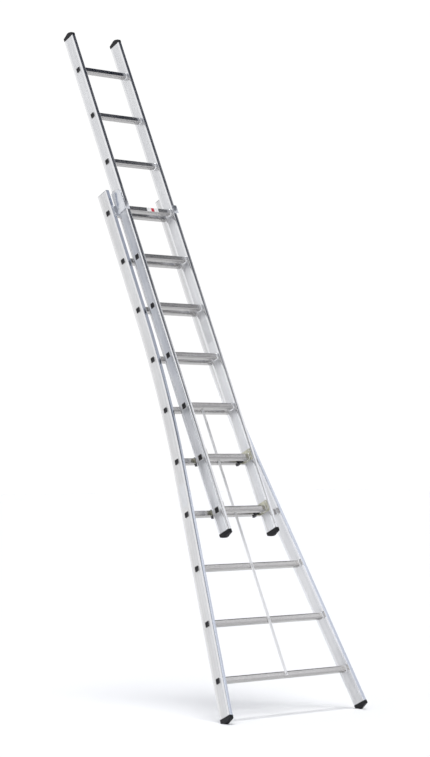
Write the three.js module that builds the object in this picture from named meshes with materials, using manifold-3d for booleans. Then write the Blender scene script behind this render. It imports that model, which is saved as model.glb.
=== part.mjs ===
// Two-section aluminium extension ladder with a splayed base, leaning at its working angle.
//
// Local ladder frame, before the whole ladder is leaned back:
//   x  across the ladder, +x to the user's right
//   y  through the depth, y = 0 on the front face of the fly, +y to the back
//   z  along the stiles, z = 0 at the lower end of the base stiles
// The ladder is then turned back by LEAN and stood with its soles on Z = 0.
import * as THREE from 'three';
import { mergeVertices } from 'three/addons/utils/BufferGeometryUtils.js';
import Module from 'manifold-3d';

const wasm = await Module();
wasm.setup();

// ------------------------------------------------------------------ driving dimensions (mm)
const LEAN = 25 * Math.PI / 180;      // from the vertical: 65 degrees to the ground
const PITCH = 280;                    // rung to rung
const RUNGS = 10;                     // in each section
const GAP = 0.3;                      // between pieces that touch

const STILE_W = 20;                   // across the ladder
const STILE_D = 74;                   // through the depth
const STILE_WALL = 2;
const STILE_EDGE = 2.2;               // bevel along the outer edges

const FLY_HALF = 166;                 // outer half width
const FLY_Y = 0;
const FLY_RUNG10 = 1004.5;            // lowest fly rung: three pitches up
const FLY_BOTTOM = 891;
const FLY_TOP = 3722;
const FLY_RUNG_Y = 37;

const BASE_HALF = 203;
const BASE_Y = 70;
const BASE_RUNG10 = 174;
const BASE_TOP = 2810;
const BASE_RUNG_Y = 107;
const SPLAY_START = 2119.7;           // the stiles curve outward below this height
const SPLAY_END = 1225;               // and run straight again below this one
const SPLAY_CURVE = 0.0459 / PITCH;   // 1/mm, a radius of about 6.1 m
const SPLAY_SLOPE = SPLAY_CURVE * (SPLAY_START - SPLAY_END);

const RUNG = 30;                      // square, rounded corners
const RUNG_R = 6;
const RUNG_WALL = 1.6;

const CAP_OVER = 0.5;                 // the caps stand proud of the stile by this much
const CAP_LOW = 16, CAP_HIGH = 30, CAP_FAR = 17, CAP_PEAK = 30;
const SPIGOT = 22;
const SOLE_DROP = 17.5;

const STRIP_W = 15, STRIP_T = 3;

const PLATE_X0 = 142.7, PLATE_X1 = 145.7;   // claw plates lie on the inner faces of the fly stiles
const PIN_X = 136, PIN_Y = 82, PIN_R = 3;
const CLAW_HALF = 6, CLAW_REACH = 119;
const CLAW_SEAT = 24.9;               // underside of the upper arm, above the fly rung's centre
const CLAW_ARM = 6.1;
const CLAW_FINGER = -5.9, CLAW_FINGER_T = 7.6;
const LUG_T = 3;

const GUIDE_X0 = 167.4, GUIDE_T = 2.4;
const GUIDE_Z0 = 2669.5, GUIDE_Z1 = 2794.5;

// ------------------------------------------------------------------ materials
const aluminium = () => new THREE.MeshStandardMaterial({ color: 0xc8ccd1, roughness: 0.36, metalness: 0.9 });
const aluminiumDull = () => new THREE.MeshStandardMaterial({ color: 0xb9bfc6, roughness: 0.45, metalness: 0.9 });
const blackPlastic = () => new THREE.MeshStandardMaterial({ color: 0x17181a, roughness: 0.55, metalness: 0.0 });
const greyPlastic = () => new THREE.MeshStandardMaterial({ color: 0x9a9da1, roughness: 0.55, metalness: 0.0 });
const zincSteel = () => new THREE.MeshStandardMaterial({ color: 0xb09a62, roughness: 0.4, metalness: 0.85 });
const darkSteel = () => new THREE.MeshStandardMaterial({ color: 0x3a3a3c, roughness: 0.5, metalness: 0.7 });
const rivetSteel = () => new THREE.MeshStandardMaterial({ color: 0xd3d5d8, roughness: 0.3, metalness: 0.9 });

// ------------------------------------------------------------------ solids
function solid(geometry) {
  const g = geometry.clone();
  g.deleteAttribute('normal');
  g.deleteAttribute('uv');
  const m = mergeVertices(g, 1e-4);
  return new wasm.Manifold(new wasm.Mesh({
    numProp: 3,
    vertProperties: new Float32Array(m.attributes.position.array),
    triVerts: new Uint32Array(m.index.array),
  }));
}

function geometryOf(manifold) {
  const mesh = manifold.getMesh();
  const g = new THREE.BufferGeometry();
  g.setAttribute('position', new THREE.BufferAttribute(new Float32Array(mesh.vertProperties), 3));
  g.setIndex(new THREE.BufferAttribute(new Uint32Array(mesh.triVerts), 1));
  const flat = g.toNonIndexed();
  flat.computeVertexNormals();
  return flat;
}

const shapeOf = (points, holes = []) => {
  const s = new THREE.Shape(points.map(([a, b]) => new THREE.Vector2(a, b)));
  for (const h of holes) s.holes.push(new THREE.Path(h.map(([a, b]) => new THREE.Vector2(a, b))));
  return s;
};
const extrude = (points, holes, depth, bevel = 0) => new THREE.ExtrudeGeometry(shapeOf(points, holes), bevel
  ? { depth: depth - 2 * bevel, bevelEnabled: true, bevelThickness: bevel, bevelSize: bevel, bevelOffset: -bevel, bevelSegments: 2, steps: 1 }
  : { depth, bevelEnabled: false, steps: 1 }).translate(0, 0, bevel);

// a profile in (x, y), run along z
const prismZ = (points, z0, z1, holes = []) => extrude(points, holes, z1 - z0).translate(0, 0, z0);
// a profile in (y, z), run along x
const toX = new THREE.Matrix4().set(0, 0, 1, 0, 1, 0, 0, 0, 0, 1, 0, 0, 0, 0, 0, 1);
const prismX = (points, x0, x1, holes = [], bevel = 0) => extrude(points, holes, x1 - x0, bevel).applyMatrix4(toX).translate(x0, 0, 0);
// a profile in (z, x), run along y
const toY = new THREE.Matrix4().set(0, 1, 0, 0, 0, 0, 1, 0, 1, 0, 0, 0, 0, 0, 0, 1);
const prismY = (points, y0, y1) => extrude(points, [], y1 - y0).applyMatrix4(toY).translate(0, y0, 0);

const rect = (a0, b0, a1, b1) => [[a0, b0], [a1, b0], [a1, b1], [a0, b1]];
const cutRect = (a0, b0, a1, b1, c) => [[a0 + c, b0], [a1 - c, b0], [a1, b0 + c], [a1, b1 - c], [a1 - c, b1], [a0 + c, b1], [a0, b1 - c], [a0, b0 + c]];
const box = (x0, y0, z0, x1, y1, z1) => prismZ(rect(x0, y0, x1, y1), z0, z1);
const ring = (a, b, r, n = 12) => Array.from({ length: n }, (_, i) => {
  const t = (i + 0.5) * 2 * Math.PI / n;
  return [a + r * Math.cos(t), b + r * Math.sin(t)];
});
function roundSquare(a, b, size, r, steps = 2) {
  const h = size / 2, out = [];
  for (const [sx, sy, t0] of [[1, -1, -90], [1, 1, 0], [-1, 1, 90], [-1, -1, 180]]) {
    for (let i = 0; i <= steps; i++) {
      const t = (t0 + 90 * i / steps) * Math.PI / 180;
      out.push([a + sx * (h - r) + r * Math.cos(t), b + sy * (h - r) + r * Math.sin(t)]);
    }
  }
  return out;
}

// closed loft through rings of points that all have the same count
function loft(rings) {
  const n = rings[0].length, pos = [], idx = [];
  for (const r of rings) for (const p of r) pos.push(...p);
  for (let k = 0; k + 1 < rings.length; k++) {
    for (let i = 0; i < n; i++) {
      const a = k * n + i, b = k * n + (i + 1) % n, c = a + n, d = b + n;
      idx.push(a, b, d, a, d, c);
    }
  }
  const last = (rings.length - 1) * n;
  for (let i = 1; i + 1 < n; i++) {
    idx.push(0, i + 1, i);
    idx.push(last, last + i, last + i + 1);
  }
  const g = new THREE.BufferGeometry();
  g.setAttribute('position', new THREE.Float32BufferAttribute(pos, 3));
  g.setIndex(idx);
  return g;
}

// ------------------------------------------------------------------ the ladder
const ladder = new THREE.Group();
function piece(name, shape, material) {
  const geometry = shape instanceof THREE.BufferGeometry ? geometryOf(solid(shape)) : geometryOf(shape);
  const mesh = new THREE.Mesh(geometry, material);
  mesh.name = name;
  ladder.add(mesh);
  return mesh;
}
const sides = [['left', -1], ['right', 1]];
const mirrored = (s) => (s > 0 ? (m) => m : (m) => m.mirror([1, 0, 0]));

const flyRungZ = (k) => FLY_RUNG10 + (RUNGS - k) * PITCH;
const baseRungZ = (k) => BASE_RUNG10 + (RUNGS - k) * PITCH;

// outer face of a base stile, and its slope, at a height z
function splay(z) {
  if (z >= SPLAY_START) return { x: BASE_HALF, slope: 0 };
  if (z >= SPLAY_END) {
    const d = SPLAY_START - z;
    return { x: BASE_HALF + SPLAY_CURVE * d * d / 2, slope: SPLAY_CURVE * d };
  }
  const d = SPLAY_START - SPLAY_END;
  return { x: BASE_HALF + SPLAY_CURVE * d * d / 2 + SPLAY_SLOPE * (SPLAY_END - z), slope: SPLAY_SLOPE };
}

const rungHole = (y, z) => cutRect(y - RUNG / 2 - GAP, z - RUNG / 2 - GAP, y + RUNG / 2 + GAP, z + RUNG / 2 + GAP, 3.6);

// ---- fly stiles: straight box sections, pierced by the rungs
for (const [side, s] of sides) {
  let tube = solid(prismZ(cutRect(FLY_HALF - STILE_W, FLY_Y, FLY_HALF, FLY_Y + STILE_D, STILE_EDGE), FLY_BOTTOM, FLY_TOP,
    [rect(FLY_HALF - STILE_W + STILE_WALL, FLY_Y + STILE_WALL, FLY_HALF - STILE_WALL, FLY_Y + STILE_D - STILE_WALL)]));
  for (let k = 1; k <= RUNGS; k++) tube = tube.subtract(solid(prismX(rungHole(FLY_RUNG_Y, flyRungZ(k)), FLY_HALF - STILE_W - 5, FLY_HALF + 5)));
  piece(`fly_stile_${side}`, mirrored(s)(tube), aluminium());
}

// ---- base stiles: straight above, curved outward below, pierced by the rungs
const stations = [BASE_TOP, SPLAY_START];
for (let i = 1; i <= 9; i++) stations.push(SPLAY_START + (SPLAY_END - SPLAY_START) * i / 9);
stations.push(0);
function stileSection(z, loop, beyond = 0) {
  const { x, slope } = splay(z);
  const t = Math.atan(slope);
  return loop.map(([inward, y]) => [
    x - inward * Math.cos(t) + beyond * Math.sin(t),
    y,
    z - inward * Math.sin(t) - beyond * Math.cos(t),
  ]);
}
const outerLoop = cutRect(0, BASE_Y, STILE_W, BASE_Y + STILE_D, STILE_EDGE).reverse();
const innerLoop = rect(STILE_WALL, BASE_Y + STILE_WALL, STILE_W - STILE_WALL, BASE_Y + STILE_D - STILE_WALL).reverse();
const boltZ = [GUIDE_Z0 + 2, GUIDE_Z0 + 36];
const BOLT_X = 192;
for (const [side, s] of sides) {
  const outer = loft(stations.map((z) => stileSection(z, outerLoop)).reverse());
  const inner = loft(stations.map((z, i) => stileSection(z, innerLoop, i === 0 ? -3 : i === stations.length - 1 ? 3 : 0)).reverse());
  let tube = solid(outer).subtract(solid(inner));
  for (let k = 1; k <= RUNGS; k++) {
    const { x } = splay(baseRungZ(k));
    tube = tube.subtract(solid(prismX(rungHole(BASE_RUNG_Y, baseRungZ(k)), x - STILE_W - 12, x + 12)));
  }
  for (const z of boltZ) tube = tube.subtract(solid(prismY(ring(z, BOLT_X, 2.85), BASE_Y - 2, BASE_Y + STILE_WALL + 2)));
  piece(`base_stile_${side}`, mirrored(s)(tube), aluminium());
}

// ---- rungs: rounded square tubes right through both stiles
for (let k = 1; k <= RUNGS; k++) {
  const z = flyRungZ(k);
  piece(`fly_rung_${k}`, prismX(roundSquare(FLY_RUNG_Y, z, RUNG, RUNG_R), -FLY_HALF, FLY_HALF,
    [roundSquare(FLY_RUNG_Y, z, RUNG - 2 * RUNG_WALL, RUNG_R - RUNG_WALL)]), aluminiumDull());
}
for (let k = 1; k <= RUNGS; k++) {
  const z = baseRungZ(k);
  const g = prismX(roundSquare(BASE_RUNG_Y, z, RUNG, RUNG_R), -1, 1,
    [roundSquare(BASE_RUNG_Y, z, RUNG - 2 * RUNG_WALL, RUNG_R - RUNG_WALL)]);
  const p = g.attributes.position;
  for (let i = 0; i < p.count; i++) p.setX(i, Math.sign(p.getX(i)) * (splay(p.getZ(i)).x + 0.4));
  let tube = solid(g);
  if (k >= 5) tube = tube.subtract(solid(prismY(ring(z, 0, 2.35), BASE_RUNG_Y - RUNG / 2 - 2, BASE_RUNG_Y - RUNG / 2 + RUNG_WALL + 2)));
  piece(`base_rung_${k}`, tube, aluminiumDull());
}

// ---- end caps: one moulding, with a spigot inside the stile
// profile heights from the short side: 16, 30 at 30 in, 17 at the far side
function capBody(y0, dir, tall = 0) {
  const D = STILE_D + 2 * CAP_OVER, c = 2.5;
  const at = (u, h) => [y0 + dir * u, h];
  const rise = (CAP_HIGH - CAP_LOW) / CAP_PEAK, fall = (CAP_HIGH - CAP_FAR) / (D - CAP_PEAK);
  if (tall) {
    // deeper blank, cut level afterwards
    const deep = CAP_HIGH + fall * 22;
    return [at(0, 0), at(0, deep), at(CAP_PEAK - 22, deep), at(D - c, CAP_FAR + fall * c), at(D, CAP_FAR - c * 0.6), at(D, 0)];
  }
  // broad round crown between the two slopes
  const crown = [], span = 17, a = [CAP_PEAK - span, CAP_HIGH - rise * span], m = [CAP_PEAK, CAP_HIGH + 2.4], b = [CAP_PEAK + span, CAP_HIGH - fall * span];
  for (let i = 0; i <= 8; i++) {
    const t = i / 8, q = 1 - t;
    crown.push(at(q * q * a[0] + 2 * q * t * m[0] + t * t * b[0], q * q * a[1] + 2 * q * t * m[1] + t * t * b[1]));
  }
  const round = [0, 1, 2, 3].map((i) => {
    const w = i / 3 * Math.PI / 2;
    return at(D - 5 * (1 - Math.cos(w)) , CAP_FAR - 2 + 4.2 * Math.sin(w));
  }).reverse();
  return [at(0, 0), at(0, CAP_LOW - 4), at(0.8, CAP_LOW - 1.6), at(2.6, CAP_LOW + 0.6), ...crown, ...round, at(D, 0)];
}
const wind = (points) => {
  let a = 0;
  for (let i = 0; i < points.length; i++) {
    const [x0, y0] = points[i], [x1, y1] = points[(i + 1) % points.length];
    a += x0 * y1 - x1 * y0;
  }
  return a > 0 ? points : [...points].reverse();
};
// cap centred on x = 0, opening plane at z = 0, standing up (up = 1) or hanging down (up = -1)
function cap(yFront, up, shortAtBack, tall = 0) {
  const y0 = shortAtBack ? yFront + STILE_D + CAP_OVER : yFront - CAP_OVER;
  const outline = wind(capBody(y0, shortAtBack ? -1 : 1, tall).map(([y, h]) => [y, up * (h + GAP)])
    .map(([y, h]) => [y, h]));
  const w = STILE_W / 2 + CAP_OVER;
  const body = solid(prismX(outline, -w, w, [], 1.6));
  const i = STILE_WALL + GAP;
  const z0 = up * (GAP + 1.8), z1 = -up * SPIGOT;
  const plug = solid(box(-STILE_W / 2 + i, yFront + i, Math.min(z0, z1), STILE_W / 2 - i, yFront + STILE_D - i, Math.max(z0, z1)));
  // square up the opening plane of the cap and join the spigot
  const trim = solid(box(-40, yFront - 20, Math.min(up * GAP, -up * 40), 40, yFront + STILE_D + 20, Math.max(up * GAP, -up * 40)));
  return body.subtract(trim).add(plug);
}
for (const [side, s] of sides) {
  const x = s * (FLY_HALF - STILE_W / 2);
  piece(`fly_top_cap_${side}`, cap(FLY_Y, 1, false).translate([x, 0, FLY_TOP]), blackPlastic());
  piece(`fly_bottom_cap_${side}`, cap(FLY_Y, -1, true).translate([x, 0, FLY_BOTTOM]), blackPlastic());
}
// base feet: the same cap with its sole cut level with the ground
const tilt = Math.atan(SPLAY_SLOPE) * 180 / Math.PI;
const footX = splay(0).x - STILE_W / 2 * Math.cos(tilt * Math.PI / 180);
const footZ = -STILE_W / 2 * Math.sin(tilt * Math.PI / 180);
const backY = BASE_Y + STILE_D + CAP_OVER;
const ground = solid(box(-200, -300, -200, 1200, 300, 0)).rotate([LEAN * 180 / Math.PI, 0, 0]).translate([0, backY, -SOLE_DROP]);
for (const [side, s] of sides) {
  const foot = cap(BASE_Y, -1, true, 1).rotate([0, -tilt, 0]).translate([footX, 0, footZ]).subtract(ground);
  piece(`base_foot_${side}`, mirrored(s)(foot), blackPlastic());
}

// ---- plugs that close the upper ends of the base stiles
for (const [side, s] of sides) {
  const i = STILE_WALL + GAP;
  const plate = solid(prismZ(cutRect(BASE_HALF - STILE_W, BASE_Y, BASE_HALF, BASE_Y + STILE_D, STILE_EDGE), BASE_TOP + GAP, BASE_TOP + GAP + 2.2));
  const plug = solid(box(BASE_HALF - STILE_W + i, BASE_Y + i, BASE_TOP - 18, BASE_HALF - i, BASE_Y + STILE_D - i, BASE_TOP + 1.2));
  piece(`base_top_plug_${side}`, mirrored(s)(plate.add(plug)), greyPlastic());
}

// ---- guide brackets at the head of the base: a bent sheet that wraps the fly stile
for (const [side, s] of sides) {
  const x0 = GUIDE_X0, x1 = GUIDE_X0 + GUIDE_T;
  let b = solid(prismX([[-3.5, GUIDE_Z0], [77.7, GUIDE_Z0], [77.7, GUIDE_Z1], [30, GUIDE_Z1 - 4], [16, GUIDE_Z1 - 9], [8, GUIDE_Z1 - 22], [4, GUIDE_Z0 + 46], [-3.5, GUIDE_Z0 + 40]], x0, x1));
  b = b.add(solid(box(149, -3.5, GUIDE_Z0 - 5, 177, -1.1, GUIDE_Z0 + 40)));
  b = b.add(solid(box(152, 75.3, GUIDE_Z0, x1, 77.7, GUIDE_Z0 + 60)));
  b = b.add(solid(box(x0, BASE_Y - GAP - GUIDE_T, GUIDE_Z0 - 11, 200.5, BASE_Y - GAP, GUIDE_Z0 + 49)));
  for (const z of boltZ) b = b.subtract(solid(prismY(ring(z, BOLT_X, 2.85), BASE_Y - 8, BASE_Y + 2)));
  piece(`guide_bracket_${side}`, mirrored(s)(b), aluminiumDull());
  boltZ.forEach((z, i) => {
    const rivet = new THREE.LatheGeometry([[0, -3.2], [2.6, -3.0], [4.6, -1.6], [5, 0], [2.5, 0], [2.5, 8.6], [0, 8.6]].map(([r, h]) => new THREE.Vector2(r, h)), 12)
      .translate(s * BOLT_X, BASE_Y - 2 * GAP - GUIDE_T, z);
    piece(`guide_rivet_${side}_${i + 1}`, rivet, rivetSteel());
  });
}

// ---- tie strip down the front of the base rungs, one screw at each rung
const stripY1 = BASE_RUNG_Y - RUNG / 2 - GAP, stripY0 = stripY1 - STRIP_T;
let strip = solid(box(-STRIP_W / 2, stripY0, baseRungZ(10) - 9, STRIP_W / 2, stripY1, baseRungZ(5) + 9));
for (let k = 5; k <= RUNGS; k++) strip = strip.subtract(solid(prismY(ring(baseRungZ(k), 0, 2.35), stripY0 - 2, stripY1 + 2)));
piece('tie_strip', strip, aluminium());
for (let k = 5; k <= RUNGS; k++) {
  const screw = new THREE.LatheGeometry([[0, -2.4], [2.2, -2.2], [4.2, -1.2], [4.6, 0], [2, 0], [2, 9], [0, 9]].map(([r, h]) => new THREE.Vector2(r, h)), 12)
    .translate(0, stripY0 - GAP, baseRungZ(k));
  piece(`tie_screw_${k}`, screw, rivetSteel());
}

// ---- claw plates, claws and pins at the two lowest fly rungs
for (const [level, k] of [['upper', 9], ['lower', 10]]) {
  const z = flyRungZ(k);
  const armTop = CLAW_SEAT + CLAW_ARM, fingerBottom = CLAW_FINGER - CLAW_FINGER_T;
  const lugs = [[armTop + 0.4, armTop + 0.4 + LUG_T], [fingerBottom - 0.4 - LUG_T, fingerBottom - 0.4]];
  for (const [side, s] of sides) {
    const outline = [[7, -20.5], [66, -20.5], [76, lugs[1][0]], [88.4, lugs[1][0]], [88.4, lugs[0][1]], [6, lugs[0][1]], [2, 30], [2, -15]];
    let plate = solid(prismX(outline.map(([y, h]) => [y, z + h]), PLATE_X0, PLATE_X1));
    for (const [a, b] of lugs) plate = plate.add(solid(prismZ(cutRect(PIN_X - 6.4, 75.6, PLATE_X1, 88.4, 2), z + a, z + b)));
    plate = plate.subtract(solid(prismX(rungHole(FLY_RUNG_Y, z), PLATE_X0 - 5, PLATE_X1 + 5)));
    for (const [a, b] of lugs) plate = plate.subtract(solid(prismZ(ring(PIN_X, PIN_Y, PIN_R + 0.45), z + a - 2, z + b + 2)));
    piece(`claw_plate_${level}_${side}`, mirrored(s)(plate), zincSteel());

    let claw = solid(prismZ(ring(PIN_X, PIN_Y, CLAW_HALF, 16), z + fingerBottom, z + armTop));
    const arm = (a, b, reach) => solid(prismX([[PIN_Y, z + a], [reach - 3, z + a], [reach, z + a + 2.5], [reach, z + b - 2.5], [reach - 3, z + b], [PIN_Y, z + b]], PIN_X - CLAW_HALF * 0.97, PIN_X + CLAW_HALF * 0.97));
    claw = claw.add(arm(CLAW_SEAT, armTop, CLAW_REACH)).add(arm(fingerBottom, CLAW_FINGER, CLAW_REACH - 2));
    claw = claw.subtract(solid(prismZ(ring(PIN_X, PIN_Y, PIN_R + 0.45), z + fingerBottom - 2, z + armTop + 2)));
    piece(`claw_${level}_${side}`, mirrored(s)(claw), darkSteel());

    const low = lugs[1][0] - 0.3, high = lugs[0][1] + 0.3;
    const pin = new THREE.LatheGeometry([[0, low - 1.6], [3.4, low - 1.6], [4.2, low - 0.8], [4.2, low], [PIN_R, low], [PIN_R, high], [4.8, high], [4.8, high + 1.2], [3.4, high + 2.2], [0, high + 2.2]]
      .map(([r, h]) => new THREE.Vector2(r, h)), 12).rotateX(Math.PI / 2).translate(s * PIN_X, PIN_Y, z);
    piece(`claw_pin_${level}_${side}`, pin, rivetSteel());
  }
}

// ------------------------------------------------------------------ lean it back and stand it on its soles
ladder.rotation.x = -LEAN;
ladder.updateMatrixWorld(true);
const bounds = new THREE.Box3().setFromObject(ladder, true);
ladder.position.set(0, -(bounds.min.y + bounds.max.y) / 2, -bounds.min.z);
const group = new THREE.Group();
group.add(ladder);
group.updateMatrixWorld(true);

export default group;
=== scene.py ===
import math

import bmesh
import bpy
from mathutils import Matrix, Vector


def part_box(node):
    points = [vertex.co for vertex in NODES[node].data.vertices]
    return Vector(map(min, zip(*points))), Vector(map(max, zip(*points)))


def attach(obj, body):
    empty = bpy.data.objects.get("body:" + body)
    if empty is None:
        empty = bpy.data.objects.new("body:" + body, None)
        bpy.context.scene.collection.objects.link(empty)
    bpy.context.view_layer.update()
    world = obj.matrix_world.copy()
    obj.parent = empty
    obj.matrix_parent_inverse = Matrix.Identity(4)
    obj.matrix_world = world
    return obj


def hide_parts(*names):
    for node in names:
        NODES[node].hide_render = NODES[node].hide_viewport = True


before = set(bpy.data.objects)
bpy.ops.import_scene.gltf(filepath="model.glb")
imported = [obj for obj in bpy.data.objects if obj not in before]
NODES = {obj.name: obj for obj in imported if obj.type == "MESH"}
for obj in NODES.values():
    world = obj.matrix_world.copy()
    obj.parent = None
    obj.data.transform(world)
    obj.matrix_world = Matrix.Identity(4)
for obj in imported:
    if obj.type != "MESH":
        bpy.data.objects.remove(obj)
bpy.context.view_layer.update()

# ---------------------------------------------------------------- ladder frame (mm) to world (m)
LEAN = math.radians(25)
ROT = Matrix.Rotation(-LEAN, 4, "X")
lo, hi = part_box("fly_rung_10")
T = (lo + hi) / 2 - (ROT @ Vector((0, 0.037, 1.0045)))
W = Matrix.Translation(T) @ ROT
WI = W.inverted()
BASE, FLY = "base_section", "fly_section"

PITCH = 280.0
FLY_HALF, BASE_HALF = 166.0, 203.0
SPLAY_START, SPLAY_END = 2119.7, 1225.0
SPLAY_CURVE = 0.0459 / PITCH
SPLAY_SLOPE = SPLAY_CURVE * (SPLAY_START - SPLAY_END)
fly_z = lambda k: 1004.5 + (10 - k) * PITCH
base_z = lambda k: 174.0 + (10 - k) * PITCH


def splay(z):
    if z >= SPLAY_START:
        return BASE_HALF, 0.0
    if z >= SPLAY_END:
        d = SPLAY_START - z
        return BASE_HALF + SPLAY_CURVE * d * d / 2, SPLAY_CURVE * d
    d = SPLAY_START - SPLAY_END
    return BASE_HALF + SPLAY_CURVE * d * d / 2 + SPLAY_SLOPE * (SPLAY_END - z), SPLAY_SLOPE


# ---------------------------------------------------------------- camera, at the view's angle
cam_data = bpy.data.cameras.new("camera")
cam = bpy.data.objects.new("camera", cam_data)
bpy.context.scene.collection.objects.link(cam)
right = Vector((0.745602890851315, -0.6663639423690827, -0.005951929476714285))
back = Vector((-0.6660421743696675, -0.7448946548826146, -0.03898429284001074)).normalized()
up = back.cross(right).normalized()
right = up.cross(back).normalized()
O0 = Vector((0, -0.426683, 0.987315))
eye = Vector((-7.116215851813596, -8.158828413359025, 1.1993224173272081)) - O0 + (W @ Vector((0, 0, 1.0045)))
cam.matrix_world = Matrix(((right.x, up.x, back.x, eye.x), (right.y, up.y, back.y, eye.y), (right.z, up.z, back.z, eye.z), (0, 0, 0, 1)))
cam_data.sensor_width = 36.0
cam_data.lens = 2159.298 * 36.0 / 757.0
cam_data.clip_end = 200
bpy.context.scene.camera = cam


# ---------------------------------------------------------------- materials
def link(nt, a, b):
    nt.links.new(a, b)


def coords(nt, scale, rot=None):
    at = nt.nodes.new("ShaderNodeAttribute")
    at.attribute_name = "grain"
    mp = nt.nodes.new("ShaderNodeMapping")
    mp.inputs["Scale"].default_value = scale
    link(nt, at.outputs["Vector"], mp.inputs["Vector"])
    return mp.outputs["Vector"]


def noise(nt, vec, scale, detail=3.0, rough=0.5, distortion=0.0):
    n = nt.nodes.new("ShaderNodeTexNoise")
    n.inputs["Scale"].default_value = scale
    n.inputs["Detail"].default_value = detail
    n.inputs["Roughness"].default_value = rough
    n.inputs["Distortion"].default_value = distortion
    link(nt, vec, n.inputs["Vector"])
    return n.outputs["Fac"]


def remap(nt, val, a, b, c, d, smooth=False):
    m = nt.nodes.new("ShaderNodeMapRange")
    m.interpolation_type = "SMOOTHSTEP" if smooth else "LINEAR"
    for i, v in enumerate((a, b, c, d)):
        m.inputs[i + 1].default_value = v
    link(nt, val, m.inputs[0])
    return m.outputs[0]


def mix(nt, fac, a, b):
    m = nt.nodes.new("ShaderNodeMix")
    m.data_type = "RGBA"
    link(nt, fac, m.inputs["Factor"])
    for key, v in (("A", a), ("B", b)):
        s = [i for i in m.inputs if i.name == key and i.type == "RGBA"][0]
        if hasattr(v, "node"):
            link(nt, v, s)
        else:
            s.default_value = (*v, 1)
    return [o for o in m.outputs if o.type == "RGBA"][0]


def math_node(nt, op, a, b):
    m = nt.nodes.new("ShaderNodeMath")
    m.operation = op
    for i, v in enumerate((a, b)):
        if hasattr(v, "node"):
            link(nt, v, m.inputs[i])
        else:
            m.inputs[i].default_value = v
    return m.outputs[0]


def metal(name, colour, dark, rough, metallic=1.0, grain=1.0, coat=0.0, seed=0.0, tint=None, flange_highlight=None, front=None, web=0.0, under_shade=None):
    """Extruded or sheet metal: fine drawing lines along the part, cloudy oxide, a few handling scuffs; optional
    painted highlight on the flanges, painted shade on the front face and on the underside.
    """
    m = bpy.data.materials.new(name)
    m.use_nodes = True
    nt = m.node_tree
    b = nt.nodes["Principled BSDF"]
    b.inputs["Metallic"].default_value = metallic
    b.inputs["Coat Weight"].default_value = coat
    lines = noise(nt, coords(nt, (900, 900, 6)), 1.0, 4.0, 0.6)
    broad = noise(nt, coords(nt, (120, 120, 1.3)), 1.0, 3.0, 0.5)
    cloud = noise(nt, coords(nt, (9 + seed, 9, 5)), 1.0, 4.0, 0.55, 0.4)
    scuff = noise(nt, coords(nt, (60, 60, 22)), 1.0, 8.0, 0.75, 1.2)
    scuff = remap(nt, scuff, 0.62, 0.74, 0.0, 1.0, True)
    shade = math_node(nt, "ADD", math_node(nt, "MULTIPLY", cloud, 0.55), math_node(nt, "MULTIPLY", broad, 0.45))
    shade = remap(nt, shade, 0.32, 0.68, 0.0, 1.0, True)
    col = mix(nt, shade, dark, colour)
    if tint:
        t = noise(nt, coords(nt, (45, 45, 30)), 1.0, 3.0, 0.6, 0.8)
        col = mix(nt, remap(nt, t, 0.42, 0.66, 0.0, 0.75, True), col, tint)
    # painted highlight: within about 12 mm of the front and back edges (the flanges and the narrow faces) the colour
    # is lighter than on the web
    if flange_highlight:
        at = nt.nodes.new("ShaderNodeAttribute")
        at.attribute_name = "grain"
        sep = nt.nodes.new("ShaderNodeSeparateXYZ")
        link(nt, at.outputs["Vector"], sep.inputs[0])
        off = math_node(nt, "ABSOLUTE", math_node(nt, "SUBTRACT", sep.outputs["Y"], 0.037), 0)
        col = mix(nt, remap(nt, off, 0.0235, 0.0255, 0.0, 0.75), col, flange_highlight)
        # painted shade and reflection: the narrow front face is tinted darker and bluish
        if front:
            col = mix(nt, remap(nt, sep.outputs["Y"], 0.0003, 0.0014, 1.0, 0.0), col, front)
    # painted shade: the lower part and underside of each rung are darker
    if under_shade:
        at = nt.nodes.new("ShaderNodeAttribute")
        at.attribute_name = "grain"
        sep = nt.nodes.new("ShaderNodeSeparateXYZ")
        link(nt, at.outputs["Vector"], sep.inputs[0])
        col = mix(nt, remap(nt, sep.outputs["Y"], -0.0135, -0.004, 1.0, 0.0), col, under_shade)
    col = mix(nt, math_node(nt, "MULTIPLY", scuff, 0.35), col, tuple(c * 0.72 for c in colour))
    link(nt, col, b.inputs["Base Color"])
    r = math_node(nt, "ADD", remap(nt, lines, 0.3, 0.7, rough - 0.05 * grain, rough + 0.05 * grain), remap(nt, cloud, 0.3, 0.7, -0.04, 0.05))
    r = math_node(nt, "ADD", r, math_node(nt, "MULTIPLY", scuff, 0.12))
    if flange_highlight:
        r = math_node(nt, "ADD", r, remap(nt, off, 0.0215, 0.0245, web, 0.0))
    link(nt, r, b.inputs["Roughness"])
    h = math_node(nt, "ADD", math_node(nt, "MULTIPLY", lines, 0.7), math_node(nt, "MULTIPLY", broad, 0.9))
    bump = nt.nodes.new("ShaderNodeBump")
    bump.inputs["Strength"].default_value = 0.22 * grain
    bump.inputs["Distance"].default_value = 0.0004
    link(nt, h, bump.inputs["Height"])
    link(nt, bump.outputs["Normal"], b.inputs["Normal"])
    return m


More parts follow.
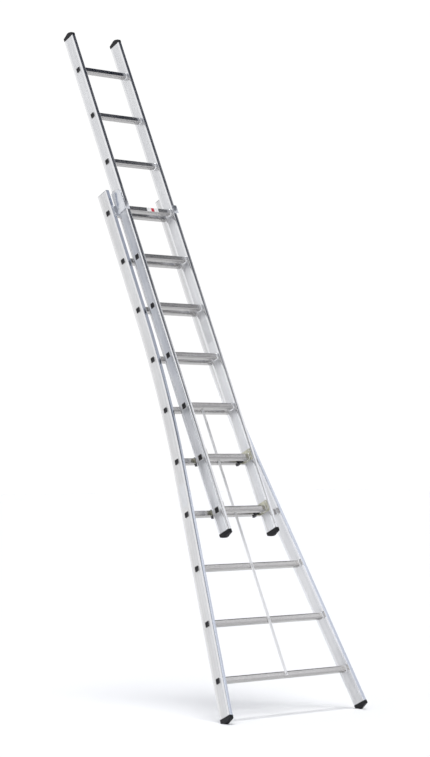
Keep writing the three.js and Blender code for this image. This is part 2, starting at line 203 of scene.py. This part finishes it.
def plastic(name, colour, worn, rough, bump_strength=0.35, spec=0.5):
    """Moulded plastic: fine spark-eroded grain, faint flow marks, rubbed lighter patches."""
    m = bpy.data.materials.new(name)
    m.use_nodes = True
    nt = m.node_tree
    b = nt.nodes["Principled BSDF"]
    b.inputs["Specular IOR Level"].default_value = spec
    fine = noise(nt, coords(nt, (2600, 2600, 2600)), 1.0, 2.0, 0.5)
    cloud = noise(nt, coords(nt, (40, 40, 40)), 1.0, 5.0, 0.6, 0.6)
    rub = remap(nt, noise(nt, coords(nt, (120, 120, 60)), 1.0, 8.0, 0.7, 1.0), 0.56, 0.74, 0.0, 1.0, True)
    col = mix(nt, remap(nt, cloud, 0.35, 0.65, 0.0, 1.0), tuple(c * 0.8 for c in colour), tuple(c * 1.25 for c in colour))
    col = mix(nt, math_node(nt, "MULTIPLY", rub, 0.5), col, worn)
    link(nt, col, b.inputs["Base Color"])
    link(nt, math_node(nt, "ADD", remap(nt, fine, 0.3, 0.7, rough - 0.04, rough + 0.05), math_node(nt, "MULTIPLY", rub, 0.12)), b.inputs["Roughness"])
    bump = nt.nodes.new("ShaderNodeBump")
    bump.inputs["Strength"].default_value = bump_strength
    bump.inputs["Distance"].default_value = 0.00025
    link(nt, fine, bump.inputs["Height"])
    link(nt, bump.outputs["Normal"], b.inputs["Normal"])
    return m


# the second, lighter colour is a painted highlight band on the stile flanges
M_STILE = metal("stile_aluminium", (0.72, 0.725, 0.74), (0.63, 0.635, 0.655), 0.17, metallic=0.94, grain=0.5, flange_highlight=(0.82, 0.825, 0.84), web=0.16)
# painted shade: the base stiles take a slightly darker copy of the stile aluminium, with a less bright painted
# highlight on the flanges and a darker bluish painted shade on the front face
M_BASE_SHADED = metal("base_stile_aluminium_shaded", (0.70, 0.70, 0.705), (0.61, 0.61, 0.62), 0.17, metallic=0.94, grain=0.5, seed=1.5, flange_highlight=(0.80, 0.80, 0.815), front=(0.63, 0.665, 0.74), web=0.16)
M_RUNG = metal("rung_aluminium", (0.62, 0.61, 0.60), (0.50, 0.49, 0.48), 0.19, grain=0.6, seed=3.0)
# the rung skins carry painted shade on their lower part and underside
M_FLUTED = metal("fluted_aluminium", (0.66, 0.65, 0.64), (0.54, 0.53, 0.52), 0.19, grain=0.6, seed=3.0, under_shade=(0.44, 0.43, 0.42))
M_BRACKET = metal("bracket_aluminium", (0.72, 0.735, 0.765), (0.60, 0.62, 0.66), 0.24, metallic=0.82, grain=0.5, seed=5.0)
# painted highlight: the swaged collars use a lighter copy of the rung aluminium so they read as a bright ring
M_SWAGE_HIGHLIGHT = metal("swaged_aluminium_highlight", (0.86, 0.86, 0.865), (0.76, 0.76, 0.765), 0.27, metallic=0.78, grain=0.6, seed=6.0)
M_STRIP = metal("strip_aluminium", (0.88, 0.88, 0.88), (0.80, 0.80, 0.80), 0.34, seed=7.0, metallic=0.6)
M_ZINC = metal("zinc_steel", (0.64, 0.625, 0.525), (0.44, 0.43, 0.345), 0.36, seed=1.0, grain=0.6, tint=(0.38, 0.395, 0.315))
M_DARK = metal("dark_steel", (0.075, 0.075, 0.08), (0.045, 0.045, 0.05), 0.42, metallic=0.6, grain=0.6, seed=2.0)
M_FAST = metal("fastener_steel", (0.78, 0.78, 0.79), (0.62, 0.62, 0.64), 0.28, grain=0.6, seed=4.0)
M_BLACK = plastic("black_plastic", (0.008, 0.008, 0.010), (0.028, 0.028, 0.032), 0.42, spec=0.22)
M_GREY = plastic("grey_plastic", (0.36, 0.37, 0.385), (0.5, 0.5, 0.5), 0.5)


def film(name, colour, ink=None, centre=None, half=None):
    """Blank printed film, with at most one plain block of colour."""
    m = bpy.data.materials.new(name)
    m.use_nodes = True
    nt = m.node_tree
    b = nt.nodes["Principled BSDF"]
    b.inputs["Coat Weight"].default_value = 0.3
    cloud = noise(nt, coords(nt, (60, 60, 60)), 1.0, 4.0, 0.6)
    col = mix(nt, remap(nt, cloud, 0.3, 0.7, 0.0, 1.0), tuple(c * 0.94 for c in colour), colour)
    if ink:
        at = nt.nodes.new("ShaderNodeAttribute")
        at.attribute_name = "grain"
        sub = nt.nodes.new("ShaderNodeVectorMath")
        sub.operation = "SUBTRACT"
        sub.inputs[1].default_value = centre
        link(nt, at.outputs["Vector"], sub.inputs[0])
        sep = nt.nodes.new("ShaderNodeSeparateXYZ")
        link(nt, sub.outputs[0], sep.inputs[0])
        fx = remap(nt, math_node(nt, "ABSOLUTE", sep.outputs["X"], 0), half[0] * 0.96, half[0] * 1.04, 1.0, 0.0)
        fz = remap(nt, math_node(nt, "ABSOLUTE", sep.outputs["Z"], 0), half[1] * 0.96, half[1] * 1.04, 1.0, 0.0)
        col = mix(nt, math_node(nt, "MULTIPLY", fx, fz), col, ink)
    link(nt, col, b.inputs["Base Color"])
    link(nt, remap(nt, cloud, 0.3, 0.7, 0.30, 0.42), b.inputs["Roughness"])
    bump = nt.nodes.new("ShaderNodeBump")
    bump.inputs["Strength"].default_value = 0.1
    bump.inputs["Distance"].default_value = 0.0003
    link(nt, cloud, bump.inputs["Height"])
    link(nt, bump.outputs["Normal"], b.inputs["Normal"])
    return m


M_LABEL = film("blank_label", (0.84, 0.84, 0.83), (0.55, 0.03, 0.05), (0.0275, 0.022, 2.685), (0.010, 0.011))
M_FILM = film("blank_film", (0.62, 0.625, 0.635))

SLOT_MAT = {
    "stile_aluminium": M_STILE, "rung_aluminium": M_RUNG, "bracket_aluminium": M_BRACKET, "strip_aluminium": M_STRIP,
    "zinc_steel": M_ZINC, "dark_steel": M_DARK, "fastener_steel": M_FAST, "black_plastic": M_BLACK, "grey_plastic": M_GREY,
    "blank_label": M_LABEL,
}


# ---------------------------------------------------------------- mesh helpers
def finish_mesh(name, me, body, slot_name, nodes=(), mat=None, angle=32, grain=None):
    me.update()
    bm = bmesh.new()
    bm.from_mesh(me)
    bmesh.ops.recalc_face_normals(bm, faces=bm.faces)
    bm.to_mesh(me)
    bm.free()
    attr = me.attributes.new("grain", "FLOAT_VECTOR", "POINT")
    if grain is None:
        flat = []
        for v in me.vertices:
            p = WI @ v.co
            flat += [p.x, p.y, p.z]
    else:
        flat = [c * 0.001 for g in grain for c in g]
    attr.data.foreach_set("vector", flat)
    me.polygons.foreach_set("use_smooth", [True] * len(me.polygons))
    me.set_sharp_from_angle(angle=math.radians(angle))
    me.materials.clear()
    me.materials.append(mat or SLOT_MAT[slot_name])
    ob = bpy.data.objects.new(name, me)
    bpy.context.scene.collection.objects.link(ob)
    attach(ob, body)
    if nodes:
        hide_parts(*nodes)
    return ob


def build(name, verts, faces, body, slot_name, nodes=(), mat=None, angle=32, grain=None):
    """verts in ladder millimetres"""
    me = bpy.data.meshes.new(name)
    me.from_pydata([W @ (Vector(v) * 0.001) for v in verts], [], faces)
    return finish_mesh(name, me, body, slot_name, nodes, mat, angle, grain)


def loft(rings, caps=True, closed=False):
    n, m = len(rings[0]), len(rings)
    verts = [p for r in rings for p in r]
    faces = []
    for k in range(m if closed else m - 1):
        a, b = k * n, ((k + 1) % m) * n
        for i in range(n):
            j = (i + 1) % n
            faces.append((a + i, a + j, b + j, b + i))
    if caps and not closed:
        faces.append(tuple(range(n))[::-1])
        faces.append(tuple(range((m - 1) * n, m * n)))
    return verts, faces


def join(parts):
    verts, faces = [], []
    for v, f in parts:
        o = len(verts)
        verts += v
        faces += [tuple(i + o for i in q) for q in f]
    return verts, faces


def arc(cx, cy, r, a0, a1, n):
    return [(cx + r * math.cos(math.radians(a0 + (a1 - a0) * i / n)), cy + r * math.sin(math.radians(a0 + (a1 - a0) * i / n))) for i in range(n + 1)]


def round_square(half, r, n=4, halfb=None):
    hb = half if halfb is None else halfb
    out = []
    for sx, sy, a in ((1, -1, -90), (1, 1, 0), (-1, 1, 90), (-1, -1, 180)):
        out += arc(sx * (half - r), sy * (hb - r), r, a, a + 90, n)
    return out


# ---------------------------------------------------------------- refined copies of the small CAD pieces
def refine(node, body, slot_name, width, segments=2, angle=20, mat=None):
    src = NODES[node].data
    bm = bmesh.new()
    bm.from_mesh(src)
    bmesh.ops.remove_doubles(bm, verts=bm.verts, dist=2e-6)
    bmesh.ops.dissolve_limit(bm, angle_limit=math.radians(1.0), verts=bm.verts, edges=bm.edges)
    edges = [e for e in bm.edges if len(e.link_faces) == 2 and e.calc_face_angle(0.0) > math.radians(angle)]
    bmesh.ops.bevel(bm, geom=edges, offset=width * 0.001, offset_type="OFFSET", segments=segments, profile=0.5, affect="EDGES", clamp_overlap=True)
    bmesh.ops.triangulate(bm, faces=[f for f in bm.faces if len(f.verts) > 4])
    me = bpy.data.meshes.new(node + "_finish")
    bm.to_mesh(me)
    bm.free()
    return finish_mesh(node + "_finish", me, body, slot_name, (node,), mat, 40)


# ---------------------------------------------------------------- stiles
def stile_profile():
    """(inward, depth) outline of the extrusion: round edges, a shallow recessed web on each wide face"""
    w, d, r, e = 20.0, 74.0, 1.9, 0.7
    out = []
    out += arc(r, r, r, 180, 270, 4)
    out += arc(w - r, r, r, 270, 360, 4)
    out += [(w, 12.0), (w - e * 0.3, 12.6), (w - e, 14.2), (w - e, d / 2), (w - e, d - 16.4), (w - e * 0.3, d - 14.8), (w, d - 14.2)]
    out += arc(w - r, d - r, r, 0, 90, 4)
    out += arc(r, d - r, r, 90, 180, 4)
    out += [(0, d - 14.2), (e * 0.3, d - 14.8), (e, d - 16.4), (e, d / 2), (e, 14.2), (e * 0.3, 12.6), (0, 12.0)]
    return out


PROFILE = stile_profile()
for side, s in (("left", -1), ("right", 1)):
    zs = [891.0 + (3722.0 - 891.0) * i / 12 for i in range(13)]
    rings = [[(s * (FLY_HALF - p), y, z) for p, y in PROFILE] for z in zs]
    v, f = loft(rings)
    grain = [(p, y, z) for z in zs for p, y in PROFILE]
    build(f"fly_stile_{side}_skin", v, f, FLY, "stile_aluminium", (f"fly_stile_{side}",), grain=grain)
    zs = [2810.0, 2600.0, 2400.0, 2250.0] + [SPLAY_START + (SPLAY_END - SPLAY_START) * i / 26 for i in range(27)] + [1000.0, 750.0, 500.0, 250.0, 0.0]
    rings, grain, run, last = [], [], 0.0, None
    for z in zs:
        x, slope = splay(z)
        t = math.atan(slope)
        rings.append([(s * (x - p * math.cos(t)), 70.0 + y, z - p * math.sin(t)) for p, y in PROFILE])
        if last:
            run += math.hypot(x - last[0], z - last[1])
        last = (x, z)
        grain += [(p + 60.0, y, run) for p, y in PROFILE]
    v, f = loft(rings)
    build(f"base_stile_{side}_skin", v, f, BASE, "stile_aluminium", (f"base_stile_{side}",), mat=M_BASE_SHADED, grain=grain)


# ---------------------------------------------------------------- rungs: fluted tread above and below, ribbed front and back
def rung_profile():
    """(depth, up) outline, 30 mm square with round corners and shallow flutes"""
    h, r = 15.0, 6.0
    out = []

    def face(fixed, sign, axis, count, depth):
        span = 2 * (h - r)
        pts = []
        for i in range(count * 6 + 1):
            u = -(h - r) + span * i / (count * 6)
            cut = depth * (0.5 - 0.5 * math.cos(2 * math.pi * count * i / (count * 6)))
            pts.append((fixed - sign * cut, u) if axis == "y" else (u, fixed - sign * cut))
        return pts

    front_back = 3
    tread = 5
    out += face(h, 1, "y", front_back, 0.16)[1:-1]
    out += arc(h - r, h - r, r, 0, 90, 5)
    out += face(h, 1, "z", tread, 0.8)[1:-1][::-1]
    out += arc(-(h - r), h - r, r, 90, 180, 5)
    out += face(-h, -1, "y", front_back, 0.16)[1:-1][::-1]
    out += arc(-(h - r), -(h - r), r, 180, 270, 5)
    out += face(-h, -1, "z", tread, 0.2)[1:-1]
    out += arc(h - r, -(h - r), r, 270, 360, 5)
    return out


RUNG = rung_profile()
for k in range(1, 11):
    z0 = fly_z(k)
    xs = [-1.0, -0.5, 0.0, 0.5, 1.0]
    rings = [[(t * (FLY_HALF + 0.1), 37.0 + a, z0 + b) for a, b in RUNG] for t in xs]
    v, f = loft(rings)
    grain = [(a + k * 37, b, t * FLY_HALF + k * 911) for t in xs for a, b in RUNG]
    build(f"fly_rung_{k}_ribbed", v, f, FLY, "rung_aluminium", (f"fly_rung_{k}",), mat=M_FLUTED, grain=grain)
    z0 = base_z(k)
    rings = [[(t * (splay(z0 + b)[0] + 0.4), 107.0 + a, z0 + b) for a, b in RUNG] for t in xs]
    v, f = loft(rings)
    grain = [(a + k * 53 + 500, b, t * splay(z0)[0] + k * 1213) for t in xs for a, b in RUNG]
    build(f"base_rung_{k}_ribbed", v, f, BASE, "rung_aluminium", (f"base_rung_{k}",), mat=M_FLUTED, grain=grain)


# ---------------------------------------------------------------- rung ends: flared rim, swaged bead, black plug
def seat(s, z0, y0, base, inner):
    """origin and axes of a rung end on a stile face: a along the depth, b up the stile, n out of the face"""
    x, slope = splay(z0) if base else (FLY_HALF, 0.0)
    t = math.atan(slope)
    n = Vector((s * math.cos(t), 0, math.sin(t)))
    if inner:
        return Vector((s * (x - 20.0 / math.cos(t) + 0.25), y0, z0)), Vector((0, 1, 0)), Vector((-s * math.sin(t), 0, math.cos(t))) / math.cos(t), -n
    out = 0.32 if base else 0.0
    return Vector((s * (x + out), y0, z0)), Vector((0, 1, 0)), Vector((-s * math.sin(t), 0, math.cos(t))) / math.cos(t), n


def bead(frame_, half, r, section, lift=0.0, flat=1.0, n=8):
    o, a, b, nn = frame_
    path = round_square(half, r, 4)
    rings = []
    m = len(path)
    for i, (p, q) in enumerate(path):
        p0, q0 = path[i - 1]
        p1, q1 = path[(i + 1) % m]
        tx, ty = p1 - p0, q1 - q0
        l = math.hypot(tx, ty)
        ex, ey = ty / l, -tx / l
        ring = []
        for j in range(n):
            u = 2 * math.pi * j / n
            w = p + section * math.cos(u) * ex, q + section * math.cos(u) * ey
            ring.append(tuple(o + a * w[0] + b * w[1] + nn * (lift + section * flat * math.sin(u))))
        rings.append(ring)
    return loft(rings, closed=True)


def plug(frame_, half, r):
    o, a, b, nn = frame_
    levels = [(half, -1.5), (half, 0.5), (half - 0.3, 0.78), (half - 0.9, 0.92), (half - 4.4, 1.02), (half - 5.0, 0.62), (half - 5.4, 0.42)]
    rings = []
    for h, lift in levels:
        rr = min(r, h * 0.5)
        rings.append([tuple(o + a * p + b * q + nn * lift) for p, q in round_square(h, rr, 3)])
    return loft(rings)


for which, body in (("fly", FLY), ("base", BASE)):
    base = which == "base"
    y0 = 107.0 if base else 37.0
    for side, s in (("left", -1), ("right", 1)):
        rims, plugs, swages = [], [], []
        for k in range(1, 11):
            z0 = base_z(k) if base else fly_z(k)
            outer = seat(s, z0, y0, base, False)
            inner = seat(s, z0, y0, base, True)
            rims.append(bead(outer, 14.0, 5.2, 1.0, 0.1, 0.8))
            plugs.append(plug(outer, 12.9, 3.6))
            swages.append(bead(inner, 16.2, 7.0, 2.1, 0.0, 1.0, 10))
            swages.append(bead(inner, 15.6, 6.6, 1.4, 3.2, 0.9, 8))
        build(f"{which}_rung_rims_{side}", *join(rims), body, "rung_aluminium", mat=M_RUNG, angle=60)
        build(f"{which}_rung_plugs_{side}", *join(plugs), body, "black_plastic", angle=50)
        # the swaged collars carry a painted highlight (lighter aluminium)
        build(f"{which}_rung_swages_{side}", *join(swages), body, "rung_aluminium", mat=M_SWAGE_HIGHLIGHT, angle=60)

# ---------------------------------------------------------------- caps, feet, brackets, claws
for side in ("left", "right"):
    for n in (f"fly_top_cap_{side}", f"fly_bottom_cap_{side}"):
        refine(n, FLY, "black_plastic", 1.1, 3, 12)
    refine(f"base_foot_{side}", BASE, "black_plastic", 0.9, 3, 12)
    refine(f"base_top_plug_{side}", BASE, "grey_plastic", 0.5, 2, 20)
    refine(f"guide_bracket_{side}", BASE, "bracket_aluminium", 0.55, 2, 30)
    for i in (1, 2):
        refine(f"guide_rivet_{side}_{i}", BASE, "fastener_steel", 0.35, 2, 25)
    for level in ("upper", "lower"):
        refine(f"claw_plate_{level}_{side}", FLY, "zinc_steel", 0.45, 2, 30)
        refine(f"claw_{level}_{side}", f"claw_{level}_{side}_body", "dark_steel", 0.5, 2, 30)
        refine(f"claw_pin_{level}_{side}", FLY, "fastener_steel", 0.3, 2, 25)
refine("tie_strip", BASE, "strip_aluminium", 0.5, 2, 30)
for k in range(5, 11):
    refine(f"tie_screw_{k}", BASE, "fastener_steel", 0.35, 2, 25)


# domed rivet heads that hold the claw plates to the stiles
def dome(o, n, a, b, r, h, seg=16):
    rings = []
    for rr, hh in ((r, -0.3), (r, 0.25 * h), (r * 0.86, 0.62 * h), (r * 0.55, 0.9 * h), (r * 0.2, h)):
        rings.append([tuple(o + a * rr * math.cos(2 * math.pi * i / seg) + b * rr * math.sin(2 * math.pi * i / seg) + n * hh) for i in range(seg)])
    return loft(rings)


X, Y, Z = Vector((1, 0, 0)), Vector((0, 1, 0)), Vector((0, 0, 1))
for side, s in (("left", -1), ("right", 1)):
    heads = []
    for k in (9, 10):
        for y, dz in ((11.5, -7.0), (11.5, 26.0), (65.0, 26.0), (65.0, -8.0)):
            heads.append(dome(Vector((s * 142.7, y, fly_z(k) + dz)), X * -s, Y, Z, 3.6, 1.7))
    build(f"claw_plate_rivets_{side}", *join(heads), FLY, "fastener_steel", angle=50)


# ---------------------------------------------------------------- labels: blank films only
def wrap_label(name, x0, x1, k):
    """a film that follows the front of a fly rung"""
    h = 15.0
    path = [(37 - h + 6 - 6 * math.sin(math.radians(t)), fly_z(k) + h - 6 + 6 * math.cos(math.radians(t))) for t in (0, 15, 30, 45, 60, 75, 90)]
    path += [(37 - h, fly_z(k) + h - 6 - i * 4.5) for i in range(1, 5)]
    out, inn = [], []
    for i, (y, z) in enumerate(path):
        a, b = path[max(0, i - 1)], path[min(len(path) - 1, i + 1)]
        ty, tz = b[0] - a[0], b[1] - a[1]
        l = math.hypot(ty, tz)
        ny, nz = tz / l, -ty / l
        if ny > 0:
            ny, nz = -ny, -nz
        out.append((y + ny * 0.28, z + nz * 0.28))
        inn.append((y - ny * 0.3, z - nz * 0.3))
    ring = out + inn[::-1]
    v, f = loft([[(x, y, z) for y, z in ring] for x in (x0, (x0 + x1) / 2, x1)])
    return build(name, v, f, FLY, "blank_label", mat=M_LABEL, angle=30)


wrap_label("rung_label", -10.0, 65.0, 4)


def flat_label(name, o, n, a, b, ha, hb, body):
    rings = []
    for g, lift in ((0.0, -0.2), (0.0, 0.18), (0.25, 0.26)):
        rings.append([tuple(o + a * p + b * q + n * lift) for p, q in round_square(ha - g, 4.0, 4, hb - g)])
    v, f = loft(rings)
    return build(name, v, f, body, "blank_label", mat=M_FILM, angle=30)


flat_label("fly_side_label", Vector((146.7, 37.0, 1004.5 + 985)), -X, Y, Z, 24.0, 62.0, FLY)
xb, sb = splay(1115.0)
tb = math.atan(sb)
flat_label("base_side_label", Vector((-(xb - 0.7 * math.cos(tb)), 107.0, 1115.0 + 0.0)), Vector((-math.cos(tb), 0, math.sin(tb))), Y, Vector((math.sin(tb), 0, math.cos(tb))), 22.0, 60.0, BASE)

# ---------------------------------------------------------------- floor, light
me = bpy.data.meshes.new("floor")
me.from_pydata([(-60, -60, -0.0006), (60, -60, -0.0006), (60, 60, -0.0006), (-60, 60, -0.0006)], [], [(0, 1, 2, 3)])
floor = bpy.data.objects.new("floor", me)
bpy.context.scene.collection.objects.link(floor)
fm = bpy.data.materials.new("floor")
fm.use_nodes = True
fb = fm.node_tree.nodes["Principled BSDF"]
fb.inputs["Base Color"].default_value = (0.93, 0.93, 0.93, 1)
fb.inputs["Roughness"].default_value = 0.9
fb.inputs["Specular IOR Level"].default_value = 0.1
me.materials.append(fm)

world = bpy.data.worlds.new("studio")
bpy.context.scene.world = world
world.use_nodes = True
nt = world.node_tree
bg = nt.nodes["Background"]
tc = nt.nodes.new("ShaderNodeTexCoord")


def dot(vec):
    d = nt.nodes.new("ShaderNodeVectorMath")
    d.operation = "DOT_PRODUCT"
    link(nt, tc.outputs["Generated"], d.inputs[0])
    d.inputs[1].default_value = vec
    return d.outputs["Value"]


# white all round up to about 35 degrees, then a grey ceiling that is darkest at the front right
rise = remap(nt, dot((0, 0, 1)), 0.545, 0.625, 0.0, 1.0, True)
side = remap(nt, dot((0.84, -0.54, 0.0)), -0.35, 0.35, 0.0, 1.0, True)
ceiling = mix(nt, side, (0.47, 0.50, 0.58), (0.015, 0.02, 0.035))
glow = math_node(nt, "MULTIPLY", remap(nt, dot((0, 0, 1)), 0.50, 0.56, 0.0, 1.0, True), side)
low = mix(nt, remap(nt, dot((0.6, -0.8, 0.0)), 0.1, 0.5, 0.0, 1.0, True), (1.0, 1.0, 1.0), (0.80, 0.81, 0.85))
sky = mix(nt, rise, mix(nt, glow, low, (1.45, 1.45, 1.47)), ceiling)
link(nt, sky, bg.inputs["Color"])
bg.inputs["Strength"].default_value = 1.02


def area(name, at, to, size, power, colour=(1, 1, 1)):
    d = bpy.data.lights.new(name, "AREA")
    d.shape = "RECTANGLE"
    d.size, d.size_y = size
    d.energy = power
    d.color = colour
    o = bpy.data.objects.new(name, d)
    bpy.context.scene.collection.objects.link(o)
    o.location = at
    o.rotation_mode = "QUATERNION"
    o.rotation_quaternion = (Vector(to) - Vector(at)).to_track_quat("-Z", "Y")
    return o


area("panel", (-10.5, -1.5, 2.6), (0, 0, 1.6), (4.0, 4.0), 90)
sun = bpy.data.lights.new("overhead", "SUN")
sun.energy = 1.85
sun.angle = math.radians(25)
overhead = bpy.data.objects.new("overhead", sun)
bpy.context.scene.collection.objects.link(overhead)
overhead.rotation_euler = (math.radians(4), math.radians(-6), 0)

bpy.context.scene.view_settings.view_transform = "Standard"
bpy.context.scene.view_settings.look = "None"
